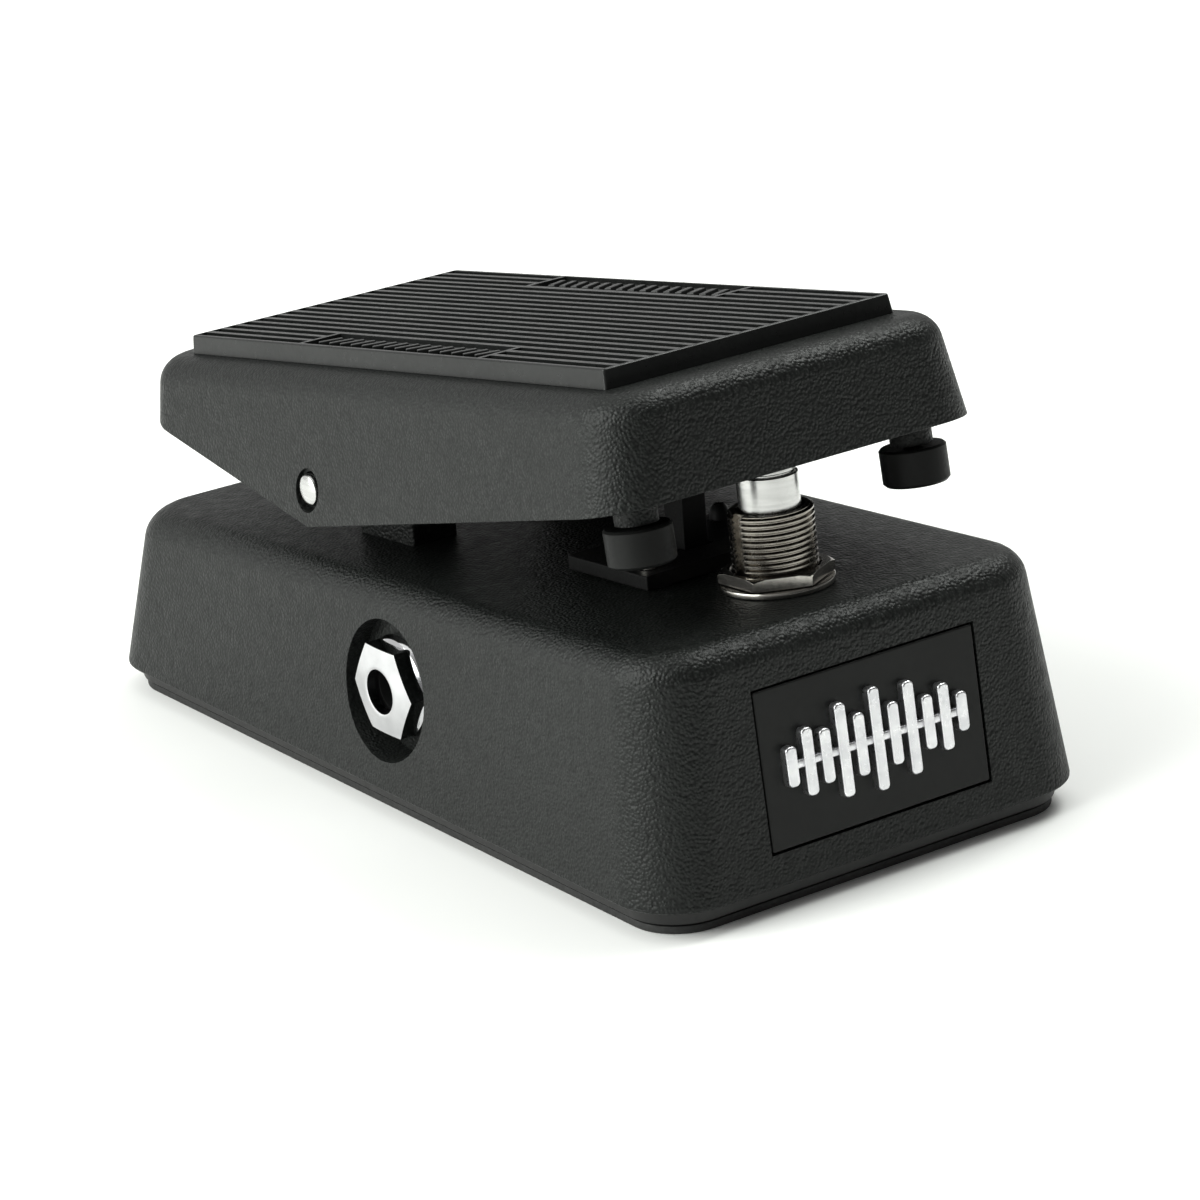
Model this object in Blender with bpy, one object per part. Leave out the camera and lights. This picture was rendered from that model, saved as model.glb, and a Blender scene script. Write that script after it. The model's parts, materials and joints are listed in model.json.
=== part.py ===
"""Compact rocker pedal of the wah kind: a die-cast base, a treadle that rocks on a cross axle,
a rack that turns a potentiometer, and a sprung footswitch under the toe.

Frame: origin at the bottom centre of the base, +Z up, toe end at -Y, heel end at +Y, input jack at -X.
Sizes below are in millimetres. Each mesh is scaled to metres when its object is made.
"""

import math

import bmesh
import bpy
from mathutils import Matrix, Vector

MM = 0.001
GAP = 0.3                       # running and resting gap between neighbouring solids

# Base housing
BASE_LENGTH, BASE_WIDTH, BASE_CORNER = 147.0, 75.2, 10.2
TOP_LENGTH, TOP_WIDTH, TOP_CORNER = 138.8, 67.2, 9.3
LIP_Z, HEEL_HEIGHT, TOE_HEIGHT = 3.8, 28.1, 37.9
TOP_FILLET, WALL, ROOF = 4.0, 2.8, 2.6
PLATE_INSET, PLATE_THICK, PAD_THICK = 2.1, 2.0, 1.2
PLATE_SCREWS = [(x, y) for x in (-27.0, 27.0) for y in (-58.5, 58.5)]

# Treadle, in its own level frame with the axle at the origin
PIVOT_Y, PIVOT_Z, REST_TILT = 16.6, 42.3, 8.75
TREADLE_TOE, TREADLE_HEEL, TREADLE_TOP = -77.6, 49.4, 16.5
TREADLE_WIDTH, TREADLE_CORNER, TREADLE_FILLET = 58.0, 8.0, 3.6
TREADLE_DRAFT, TREADLE_END_DRAFT, TREADLE_WALL, TREADLE_ROOF = 0.189, 0.03, 2.8, 3.0
SKIRT_PROFILE = [(54.0, 9.3), (0.0, -5.2), (-84.0, 2.1)]
MAT_WIDTH, MAT_HEEL, MAT_TOE, MAT_THICK, MAT_LIP, RIB_COUNT, RIB_HEIGHT = 48.6, 41.5, -69.4, 2.5, 0.9, 20, 1.2
AXLE_RADIUS, LUG_INNER, LUG_OUTER, LUG_RADIUS, BOSS_INNER = 2.4, 12.0, 19.5, 6.5, 22.0

# Bumpers, footswitch and its strike pad
BUMPER_X, BUMPER_Y, BUMPER_RADIUS, BUMPER_TOP, BUMPER_HEIGHT = 23.3, -70.3, 4.7, -1.8, 5.25
SWITCH_Y, BUSHING_RADIUS, BUSHING_TOP, PLUNGER_RADIUS, PLUNGER_TOP = -52.0, 5.95, 11.0, 4.27, 18.3
PAD_Y, PAD_RADIUS, PAD_BOTTOM = -67.3, 6.0, 11.3

# Rack, pinion and potentiometer
MODULE, PINION_TEETH = 0.8, 14
PINION_Y, PINION_Z = -22.5, 24.7
RACK_HALF, RACK_BACK, RACK_BOTTOM, RACK_NECK = 2.0, -33.5, 9.6, 49.0
RACK_PIN_Y, RACK_PIN_Z, RACK_PIN_RADIUS = -48.5, 3.0, 1.2
HEAD_CENTRE, HEAD_HALF, HEAD_LOW, HEAD_HIGH = -29.1, 6.3, 48.6, 56.7
SLOT_HALF, SLOT_LOW, SLOT_HIGH = 4.3, 50.9, 54.4

# Jacks, power socket and name plate
JACK_Y, JACK_Z, JACK_BORE, RECESS_RADIUS, RECESS_FLOOR = -5.4, 18.4, 3.3, 10.2, 31.6
SOCKET_Y, SOCKET_Z = 30.0, 18.9
NAME_WIDTH, NAME_HEIGHT, NAME_Z, NAME_DEPTH = 37.2, 22.2, 19.65, 1.4

# Circuit board
BOARD_X, BOARD_Y0, BOARD_Y1, BOARD_Z, BOARD_THICK = 26.0, 7.0, 51.0, 12.0, 1.6
BOARD_POSTS = [(x, y) for x in (-22.0, 22.0) for y in (12.0, 46.0)]
BRACKET_POSTS = [(9.5, -37.0), (15.5, -37.0)]

TOP_SLOPE = math.atan((TOE_HEIGHT - HEEL_HEIGHT) / TOP_LENGTH)
END_SLOPE = math.atan((BASE_LENGTH - TOP_LENGTH) / 2 / (TOE_HEIGHT - LIP_Z))
PITCH = math.pi * MODULE
PITCH_RADIUS = MODULE * PINION_TEETH / 2
PITCH_LINE = PINION_Y - PITCH_RADIUS


def top_z(y):
    """Height of the wedge-shaped top of the base at length y."""
    return HEEL_HEIGHT + (TOE_HEIGHT - HEEL_HEIGHT) * (TOP_LENGTH / 2 - y) / TOP_LENGTH


# ---------------------------------------------------------------- shapes

def outline(half_width, y_low, y_high, radius, steps=8):
    """Rounded rectangle in plan, counter-clockwise."""
    points = []
    corners = ((1, y_high, 1), (-1, y_high, 1), (-1, y_low, -1), (1, y_low, -1))
    for corner, (sx, y, sy) in enumerate(corners):
        for step in range(steps + 1):
            angle = math.radians(90 * (corner + step / steps))
            points.append((sx * (half_width - radius) + radius * math.cos(angle),
                           y - sy * radius + radius * math.sin(angle)))
    return points


def circle(radius, height, steps=32, flats=0):
    """Ring of points; with flats it is a regular polygon of that many flats, radius across the flat."""
    points = []
    for step in range(steps):
        angle = 2 * math.pi * step / steps
        reach = radius
        if flats:
            half = math.pi / flats
            reach = radius / math.cos((angle + half) % (2 * half) - half)
        points.append((reach * math.cos(angle), reach * math.sin(angle), height))
    return points


def loft(rings, loop=False):
    """Closed solid through rings of equal count: capped at both ends, or joined end to start."""
    bm = bmesh.new()
    rows = [[bm.verts.new(point) for point in ring] for ring in rings]
    pairs = list(zip(rows, rows[1:] + rows[:1])) if loop else list(zip(rows, rows[1:]))
    for low, high in pairs:
        for i in range(len(low)):
            j = (i + 1) % len(low)
            bm.faces.new((low[i], low[j], high[j], high[i]))
    if not loop:
        bm.faces.new(rows[0])
        bm.faces.new(rows[-1])
    bmesh.ops.recalc_face_normals(bm, faces=bm.faces)
    return bm


def turned(profile, steps=32, axis="Z", at=(0, 0, 0), loop=False):
    """Solid of revolution from (radius, height) pairs along axis."""
    bm = loft([circle(radius, height, steps) for radius, height in profile], loop)
    return aimed(bm, axis, at)


def aimed(bm, axis, at=(0, 0, 0)):
    """Turn a shape made along +Z onto another axis and move it."""
    turn = {"Z": Matrix(), "X": Matrix.Rotation(math.pi / 2, 4, "Y"),
            "-X": Matrix.Rotation(-math.pi / 2, 4, "Y"), "-Z": Matrix.Rotation(math.pi, 4, "X")}[axis]
    bm.transform(Matrix.Translation(at) @ turn)
    return bm


def tube(inner, outer, low, high, steps=32, axis="Z", at=(0, 0, 0), flats=0):
    """Ring with a plain bore, or a nut with flats."""
    rings = [circle(inner, low, steps), circle(outer, low, steps, flats),
             circle(outer, high, steps, flats), circle(inner, high, steps)]
    return aimed(loft(rings, loop=True), axis, at)


def rod(radius, low, high, steps=24, axis="Z", at=(0, 0, 0)):
    return turned([(radius, low), (radius, high)], steps, axis, at)


def box(low, high):
    """Block between two corners."""
    corners = [(low[0], low[1]), (high[0], low[1]), (high[0], high[1]), (low[0], high[1])]
    return loft([[(x, y, z) for x, y in corners] for z in (low[2], high[2])])


def side_prism(points, low, high):
    """Outline of (y, z) points extruded along X."""
    return loft([[(x, y, z) for y, z in points] for x in (low, high)])


def screw(head, shank, underside, thickness, length, at, steps=14):
    """Plain-headed screw that points up: its head hangs below underside, its shank rises by length."""
    low = underside - thickness
    return turned([(head - 0.3, low), (head, low + 0.3), (head, underside), (shank, underside),
                   (shank, underside + length)], steps, at=at)


# ---------------------------------------------------------------- objects

def material(name, color, roughness, metallic):
    made = bpy.data.materials.new(name)
    made.use_nodes = True
    shader = made.node_tree.nodes["Principled BSDF"]
    shader.inputs["Base Color"].default_value = (*color, 1.0)
    shader.inputs["Roughness"].default_value = roughness
    shader.inputs["Metallic"].default_value = metallic
    return made


def holder(name, at, tilt=0.0):
    """Empty that carries the pieces of one tilted or moving group."""
    empty = bpy.data.objects.new(name, None)
    empty.location = Vector(at) * MM
    empty.rotation_euler = (tilt, 0.0, 0.0)
    bpy.context.scene.collection.objects.link(empty)
    return empty


def piece(name, bm, finish, parent=None):
    """Named sub-part from a mesh in millimetres."""
    bm.transform(Matrix.Scale(MM, 4))
    mesh = bpy.data.meshes.new(name)
    bm.to_mesh(mesh)
    bm.free()
    mesh.shade_smooth()
    mesh.set_sharp_from_angle(angle=math.radians(35))
    mesh.materials.append(finish)
    made = bpy.data.objects.new(name, mesh)
    made.parent = parent
    bpy.context.scene.collection.objects.link(made)
    return made


def tool(bm, parent=None):
    """Hidden body that cuts or joins another."""
    made = piece("tool", bm, CUT, parent)
    made.hide_render = True
    made.display_type = "WIRE"
    return made


def combine(target, other, operation):
    change = target.modifiers.new(operation.lower(), "BOOLEAN")
    change.operation = operation
    change.object = other
    change.solver = "EXACT"


def cut(target, bm, parent=None):
    combine(target, tool(bm, parent), "DIFFERENCE")


def add(target, bm, parent=None):
    combine(target, tool(bm, parent), "UNION")


# ---------------------------------------------------------------- base

def housing_ring(level, inset, height):
    """Plan outline at a share of the wall height, with the z of each point from height(y)."""
    half_width = (BASE_WIDTH + (TOP_WIDTH - BASE_WIDTH) * level) / 2 - inset
    half_length = (BASE_LENGTH + (TOP_LENGTH - BASE_LENGTH) * level) / 2 - inset
    radius = BASE_CORNER + (TOP_CORNER - BASE_CORNER) * level - inset
    return [(x, y, height(y)) for x, y in outline(half_width, -half_length, half_length, radius)]


def make_housing():
    """Die-cast shell: drafted walls, wedge top with a rolled edge, open below."""
    wall_top = 1 - TOP_FILLET / (TOE_HEIGHT - LIP_Z)
    rings = [housing_ring(0.0, 0.5, lambda y: LIP_Z), housing_ring(0.02, 0.0, lambda y: LIP_Z + 0.6)]
    for step in range(6):
        angle = math.radians(18 * step)
        drop = TOP_FILLET * (1 - math.sin(angle))
        level = wall_top + (1 - wall_top) * math.sin(angle)
        inset = TOP_FILLET * (1 - math.cos(angle))
        rings.append(housing_ring(level, inset, lambda y, drop=drop: top_z(y) - drop))
    housing = piece("housing", loft(rings), COATING)

    cavity = tool(loft([housing_ring(-0.05, WALL, lambda y: LIP_Z - 1.0),
                        housing_ring(1.0, WALL, lambda y: top_z(y) - ROOF)]))
    for axis in ("X", "-X"):
        side = 1 if axis == "X" else -1
        cut(cavity, rod(RECESS_RADIUS + 2, 29.2, 45, 32, axis, (0, JACK_Y, JACK_Z)))
        cut(housing, rod(RECESS_RADIUS, RECESS_FLOOR, 48, 40, axis, (0, JACK_Y, JACK_Z)))
        cut(housing, rod(5.0, 26, 48, 32, axis, (0, JACK_Y, JACK_Z)))
        add(housing, lug(side * LUG_INNER, side * LUG_OUTER))
    for x, y in PLATE_SCREWS:
        cut(cavity, rod(3.7, 0, 60, 16, at=(x, y, 0)))
    for x, y in BOARD_POSTS:
        cut(cavity, rod(2.8, BOARD_Z + BOARD_THICK + GAP, 60, 16, at=(x, y, 0)))
    for x, y in BRACKET_POSTS:
        cut(cavity, rod(2.7, 27.1, 60, 16, at=(x, y, 0)))
    combine(housing, cavity, "DIFFERENCE")

    for x, y in PLATE_SCREWS:
        cut(housing, rod(1.5, 0, 16, 12, at=(x, y, 0)))
    for x, y in BOARD_POSTS:
        cut(housing, rod(1.3, 5, 22, 12, at=(x, y, 0)))
    for x, y in BRACKET_POSTS:
        cut(housing, rod(1.3, 20, 32.2, 12, at=(x, y, 0)))
    cut(housing, rod(LUG_RADIUS - 2.4, -30, 30, 24, "X", (0, PIVOT_Y, PIVOT_Z)))
    cut(housing, rod(BUSHING_RADIUS + GAP, -8, 8, 32), SWITCH_FRAME)
    cut(housing, box((-RACK_HALF - 0.6, RACK_BACK - 0.5, 20), (RACK_HALF + 0.6, PITCH_LINE + 1.3, 45)))
    for x, y in GUIDE_SCREWS:
        cut(housing, rod(1.1, -6, 3, 12, at=(x, y, 0)), GUIDE_FRAME)
    cut(housing, rod(4.4, 28, 45, 24, "X", (0, SOCKET_Y, SOCKET_Z)))
    half_width, half_height = NAME_WIDTH / 2 + GAP, NAME_HEIGHT / 2 + GAP
    cut(housing, box((-half_width, -half_height, -NAME_DEPTH), (half_width, half_height, 6)), NAME_FRAME)
    return housing


def lug(low, high):
    """One of the two posts on the base top that carry the axle."""
    foot = 7.2
    points = [(PIVOT_Y + foot, top_z(PIVOT_Y + foot) - 1.3), (PIVOT_Y + foot, 36.0)]
    for step in range(9):
        angle = math.pi * step / 8
        points.append((PIVOT_Y + LUG_RADIUS * math.cos(angle), PIVOT_Z + LUG_RADIUS * math.sin(angle)))
    points += [(PIVOT_Y - foot, 36.0), (PIVOT_Y - foot, top_z(PIVOT_Y - foot) - 1.3)]
    return side_prism(points, min(low, high), max(low, high))


def make_base_cover():
    """Steel cover plate screwed under the housing, with a rubber sheet that the pedal stands on."""
    plate_top = LIP_Z - GAP
    plate_low = plate_top - PLATE_THICK
    for name, inset, low, high, finish in (
            ("base_plate", PLATE_INSET, plate_low, plate_top, PLATE_PAINT),
            ("base_pad", PLATE_INSET + 0.5, 0.0, PAD_THICK, RUBBER)):
        reach = BASE_LENGTH / 2 - inset
        shape = outline(BASE_WIDTH / 2 - inset, -reach, reach, BASE_CORNER - inset)
        made = piece(name, loft([[(x, y, z) for x, y in shape] for z in (low, high)]), finish)
        for x, y in PLATE_SCREWS:
            cut(made, rod(3.1 if low else 3.6, -1, plate_low + 1.2, 20, at=(x, y, 0)))
            cut(made, rod(1.6, 0, 6, 12, at=(x, y, 0)))
    for number, (x, y) in enumerate(PLATE_SCREWS, 1):
        piece(f"base_plate_screw_{number}", screw(2.7, 1.2, plate_low + 0.9, 1.1, 11.0, (x, y, 0)), ZINC)


def make_name_plate():
    """Satin black insert in the toe face, with a plain raised wave of bars in chrome."""
    half_width, half_height = NAME_WIDTH / 2, NAME_HEIGHT / 2
    plate = box((-half_width, -half_height, GAP - NAME_DEPTH), (half_width, half_height, 0.0))
    piece("name_plate", plate, NAME_BLACK, NAME_FRAME)
    count, spacing = 11, 2.9
    span = spacing * (count - 1) / 2
    badge = piece("name_plate_badge", box((-span, -0.6, GAP), (span, 0.6, 0.9)), CHROME, NAME_FRAME)
    for i in range(count):
        x = i * spacing - span
        reach = 2.2 + 5.0 * math.sin(math.pi * (i + 1) / (count + 1)) * (0.45 + 0.55 * (i % 2))
        shape = outline(0.75, -reach, reach, 0.7, 3)
        add(badge, loft([[(x + px, py, z) for px, py in shape] for z in (GAP - 0.05, 1.3)]), NAME_FRAME)


def make_jack(side, name):
    """Panel jack: ferrule nut in the counterbore, threaded sleeve and a closed plastic body inside."""
    axis = "X" if side > 0 else "-X"
    centre = (0, JACK_Y, JACK_Z)
    floor, face = RECESS_FLOOR + GAP, 35.7
    rings = [circle(5.0, floor, 36), circle(7.5, floor, 36), circle(7.5, floor + 0.8, 36),
             circle(6.9, floor + 1.4, 36), circle(6.35, floor + 1.4, 36, 6), circle(6.35, face, 36, 6),
             circle(JACK_BORE + 0.4, face + 0.7, 36), circle(JACK_BORE, face + 0.5, 36),
             circle(JACK_BORE, face - 1.2, 36), circle(5.0, face - 1.2, 36)]
    piece(name + "_nut", aimed(loft(rings, loop=True), axis, centre), CHROME)
    low, high = (7.0, 28.7) if side > 0 else (-28.7, -7.0)
    case = box((low, JACK_Y - 8, JACK_Z - 7.5), (high, JACK_Y + 8, JACK_Z + 7.5))
    body = piece(name + "_body", case, BLACK_PLASTIC)
    add(body, rod(4.7, 26, face - 1.5, 28, axis, centre))
    cut(body, rod(JACK_BORE, 9, 40, 28, axis, centre))
    cut(body, box((side * 18 - 7, JACK_Y - 1.6, JACK_Z), (side * 18 + 7, JACK_Y + 1.6, JACK_Z + 6.2)))
    spring = [(JACK_Z + 5.9, 12.5), (JACK_Z + 4.0, 14.0), (JACK_Z + 3.95, 16.0), (JACK_Z + 5.4, 23.5),
              (JACK_Z + 5.9, 23.5), (JACK_Z + 4.45, 16.0), (JACK_Z + 4.5, 14.2), (JACK_Z + 6.1, 12.7)]
    contact = loft([[(side * x, y, z) for z, x in spring] for y in (JACK_Y - 1.2, JACK_Y + 1.2)])
    piece(name + "_contact", contact, NICKEL)


def make_power_socket():
    """Barrel power socket on the board, reaching through the wall on the output side."""
    centre = (0, SOCKET_Y, SOCKET_Z)
    case = box((18.0, SOCKET_Y - 4.5, SOCKET_Z - 5), (30.9, SOCKET_Y + 4.5, SOCKET_Z + 5))
    body = piece("power_socket_body", case, BLACK_PLASTIC)
    add(body, rod(4.0, 30, 35.0, 24, "X", centre))
    cut(body, rod(2.9, 22, 40, 24, "X", centre))
    pin = turned([(1.0, 22.3), (1.0, 33.4), (0.6, 33.9)], 12, "X", centre)
    piece("power_socket_pin", pin, NICKEL)


# ---------------------------------------------------------------- electronics

def make_board():
    """Circuit board hung from four posts, with its parts on top."""
    sheet = box((-BOARD_X, BOARD_Y0, BOARD_Z), (BOARD_X, BOARD_Y1, BOARD_Z + BOARD_THICK))
    board = piece("circuit_board", sheet, BOARD)
    for x, y in BOARD_POSTS:
        cut(board, rod(1.4, 8, 18, 12, at=(x, y, 0)))
    for number, (x, y) in enumerate(BOARD_POSTS, 1):
        fixing = screw(2.2, 1.0, BOARD_Z - GAP, 1.4, 8.0, (x, y, 0))
        piece(f"board_screw_{number}", fixing, ZINC)

    deck = BOARD_Z + BOARD_THICK + GAP
    pot_core = turned([(7.2, deck), (7.5, deck + 0.4), (7.5, deck + 9.6), (7.1, deck + 10.0)], 28,
                      at=(-8, 38, 0))
    piece("inductor", pot_core, FERRITE)
    for number, y in enumerate((31.0, 39.0), 1):
        can = turned([(2.6, deck), (2.6, deck + 7.6), (2.2, deck + 8.0)], 16, at=(6.0, y, 0))
        piece(f"electrolytic_capacitor_{number}", can, CAN_SLEEVE)
    for number, x in enumerate((-12.5, 4.0), 1):
        piece(f"film_capacitor_{number}", box((x - 3.6, 20.5, deck), (x + 3.6, 24.0, deck + 7.0)), FILM_RED)


def make_voice_switch():
    """Slide switch under the board that sets the voicing, reached with the cover off."""
    top, middle = BOARD_Z - GAP, 32.0
    body = piece("voice_switch_body", box((-4, middle - 6, top - 4), (4, middle + 6, top)), NICKEL)
    cut(body, box((-1.5, middle - 4.2, top - 6), (1.5, middle + 4.2, top - 1.2)))
    slider = box((-1.1, middle - 1.7, top - 6.2), (1.1, middle + 1.7, top - 1.6))
    piece("voice_switch_slider", slider, BLACK_PLASTIC)


# ---------------------------------------------------------------- rack and potentiometer

def make_rack():
    """Toothed bar that slides up and down; the slotted head lets the treadle pin drift sideways."""
    tip, root = PITCH_LINE + 0.65, PITCH_LINE - 1.0
    points = [(RACK_BACK, RACK_BOTTOM), (root, RACK_BOTTOM)]
    first = math.ceil((RACK_BOTTOM + 1.2 - PINION_Z) / PITCH - 0.5)
    for index in range(first, first + 11):
        centre = PINION_Z + (index + 0.5) * PITCH
        points += [(root, centre - 0.85), (tip, centre - 0.27), (tip, centre + 0.27), (root, centre + 0.85)]
    points += [(root, RACK_NECK), (RACK_BACK, RACK_NECK)]
    rack = piece("rack_bar", side_prism(points, -RACK_HALF, RACK_HALF), NYLON)
    add(rack, side_prism([(HEAD_CENTRE - HEAD_HALF, HEAD_LOW), (HEAD_CENTRE + HEAD_HALF, HEAD_LOW),
                          (HEAD_CENTRE + HEAD_HALF, HEAD_HIGH), (HEAD_CENTRE - HEAD_HALF, HEAD_HIGH)],
                         -RACK_HALF, RACK_HALF))
    cut(rack, box((-5, HEAD_CENTRE - SLOT_HALF, SLOT_LOW), (5, HEAD_CENTRE + SLOT_HALF, SLOT_HIGH)))

    guide = piece("rack_guide", box((-13.5, -9.5, GAP), (13.5, 9.5, 2.4)), NYLON, GUIDE_FRAME)
    cut(guide, box((-RACK_HALF - 0.5, RACK_BACK - 0.5, 30), (RACK_HALF + 0.5, PITCH_LINE + 1.3, 45)))
    for x, y in GUIDE_SCREWS:
        cut(guide, rod(1.3, -1, 5, 12, at=(x, y, 0)), GUIDE_FRAME)
    for number, (x, y) in enumerate(GUIDE_SCREWS, 1):
        seat = 2.4 + GAP
        shape = turned([(0.8, -2.2), (0.8, seat), (1.45, seat), (1.45, 4.6), (1.1, 4.9)], 16, at=(x, y, 0))
        piece(f"rack_guide_screw_{number}", shape, NICKEL, GUIDE_FRAME)


def make_pinion():
    """Gear, shaft and grub screw that turn together on the potentiometer's axis."""
    axle = holder("pinion_axis", (0, PINION_Y, PINION_Z))
    points = []
    for tooth in range(PINION_TEETH):
        centre = math.pi + 2 * math.pi * tooth / PINION_TEETH
        for radius, half in ((4.6, 0.78), (6.25, 0.27), (6.25, -0.27), (4.6, -0.78)):
            angle = centre - half / radius
            points.append((radius * math.cos(angle), radius * math.sin(angle)))
    gear = piece("pinion_gear", side_prism(points, -2.4, 2.4), NYLON, axle)
    cut(gear, rod(1.9, -5, 5, 20, "X"), axle)
    piece("pot_shaft", turned([(1.3, -3.0), (1.6, -2.7), (1.6, 9.6)], 20, "X"), NICKEL, axle)


def make_pot():
    """Potentiometer, its nut, and the steel bracket that hangs it from the roof of the base."""
    centre = (0, PINION_Y, PINION_Z)
    pot = turned([(3.3, 3.5), (3.3, 6.7), (7.0, 6.7), (7.0, 14.2), (6.6, 14.7)], 32, "X", centre)
    pot = piece("pot_body", pot, NICKEL)
    cut(pot, rod(1.95, 0, 10.2, 20, "X", centre))
    piece("pot_nut", tube(3.6, 4.8, 3.7, 4.9, 36, "X", centre, 6), NICKEL)
    plate = [(-40.0, 22.0), (-30.0, 22.0), (-30.0, 16.0), (-15.0, 16.0), (-15.0, 31.3), (-30.0, 31.3),
             (-30.0, 26.7), (-40.0, 26.7)]
    bracket = piece("pot_bracket", side_prism(plate, 5.2, 6.4), ZINC)
    add(bracket, box((5.6, -39.8, 25.5), (18.2, -34.2, 26.6)))
    cut(bracket, rod(3.7, 3, 8, 24, "X", centre))
    for x, y in BRACKET_POSTS:
        cut(bracket, rod(1.35, 24, 28, 12, at=(x, y, 0)))
    for number, (x, y) in enumerate(BRACKET_POSTS, 1):
        piece(f"pot_bracket_screw_{number}", screw(2.2, 1.0, 25.2, 1.3, 6.0, (x, y, 0)), ZINC)


# ---------------------------------------------------------------- footswitch

def make_footswitch():
    """Latching switch square to the sloped top: body below, threaded bushing, washer, nut, plunger."""
    frame = SWITCH_FRAME
    body = piece("footswitch_body", box((-8.5, -8.7, -15.6), (8.5, 8.7, -3.2)), SWITCH_BLUE, frame)
    cut(body, rod(4.6, -6.6, 0, 24), frame)
    for x in (-5, 0, 5):
        for y in (-5, 0, 5):
            add(body, box((x - 1.0, y - 0.4, -19.8), (x + 1.0, y + 0.4, -15.0)), frame)
    bore = PLUNGER_RADIUS + 0.35
    rings = [circle(bore, -2.9), circle(BUSHING_RADIUS, -2.9), circle(BUSHING_RADIUS, BUSHING_TOP - 0.6),
             circle(BUSHING_RADIUS - 0.6, BUSHING_TOP), circle(bore, BUSHING_TOP)]
    piece("footswitch_bushing", loft(rings, loop=True), DARK_NICKEL, frame)
    piece("footswitch_washer", tube(BUSHING_RADIUS + GAP, 8.05, GAP, 1.1, 36), NICKEL, frame)
    piece("footswitch_nut", tube(BUSHING_RADIUS + GAP, 7.0, 1.4, 2.7, 36, flats=6), NICKEL, frame)
    radius, top = PLUNGER_RADIUS, PLUNGER_TOP
    profile = [(radius, -2.4), (radius, top - 2.5), (radius - 0.5, top - 2.5), (radius - 0.5, top - 2.1),
               (radius - 0.2, top - 2.1), (radius - 0.2, top - 0.7), (radius - 0.7, top - 0.25),
               (radius - 2.0, top)]
    piece("footswitch_plunger", turned(profile, 32), BRIGHT_STEEL, frame)


# ---------------------------------------------------------------- treadle

def treadle_ring(z, inset, corner_inset=None):
    """Plan outline of the treadle casting at height z, in its level frame."""
    depth = TREADLE_TOP - z
    half_width = TREADLE_WIDTH / 2 + depth * TREADLE_DRAFT - inset
    low = TREADLE_TOE - depth * TREADLE_END_DRAFT + inset
    high = TREADLE_HEEL + depth * TREADLE_END_DRAFT - inset
    radius = TREADLE_CORNER + depth * TREADLE_END_DRAFT - inset
    return [(x, y, z) for x, y in outline(half_width, low, high, radius)]


def make_treadle():
    """Cast pan with drafted skirts that are deepest below the axle, rocking on the base."""
    frame = TREADLE_FRAME
    rings = [treadle_ring(-9.0, 0.0)]
    for step in range(6):
        angle = math.radians(18 * step)
        rings.append(treadle_ring(TREADLE_TOP - TREADLE_FILLET * (1 - math.sin(angle)),
                                  TREADLE_FILLET * (1 - math.cos(angle))))
    treadle = piece("treadle", loft(rings), COATING, frame)

    ceiling = TREADLE_TOP - TREADLE_ROOF
    pan = tool(loft([treadle_ring(-12.0, TREADLE_WALL), treadle_ring(ceiling, TREADLE_WALL)]), frame)
    for axis in ("X", "-X"):
        cut(pan, rod(5.6, BOSS_INNER, 45, 24, axis), frame)
    combine(treadle, pan, "DIFFERENCE")
    below = SKIRT_PROFILE + [(-84.0, -20.0), (54.0, -20.0)]
    cut(treadle, side_prism(below, -50, 50), frame)
    cut(treadle, rod(AXLE_RADIUS + 0.25, -50, 50, 24, "X"), frame)
    for axis in ("X", "-X"):
        side = 1 if axis == "X" else -1
        cut(treadle, rod(3.15, 31.0, 50, 28, axis), frame)
        centre = (side * BUMPER_X, BUMPER_Y, 0)
        add(treadle, rod(3.0, BUMPER_TOP + GAP, TREADLE_TOP - 1.5, 20, at=centre), frame)
        cut(treadle, rod(1.65, -10, 5.5, 12, at=centre), frame)
    for x in (-7.0, 7.0):
        cut(treadle, rod(1.1, 5, 15.6, 12, at=(x, RACK_PIN_Y, 0)), frame)


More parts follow.
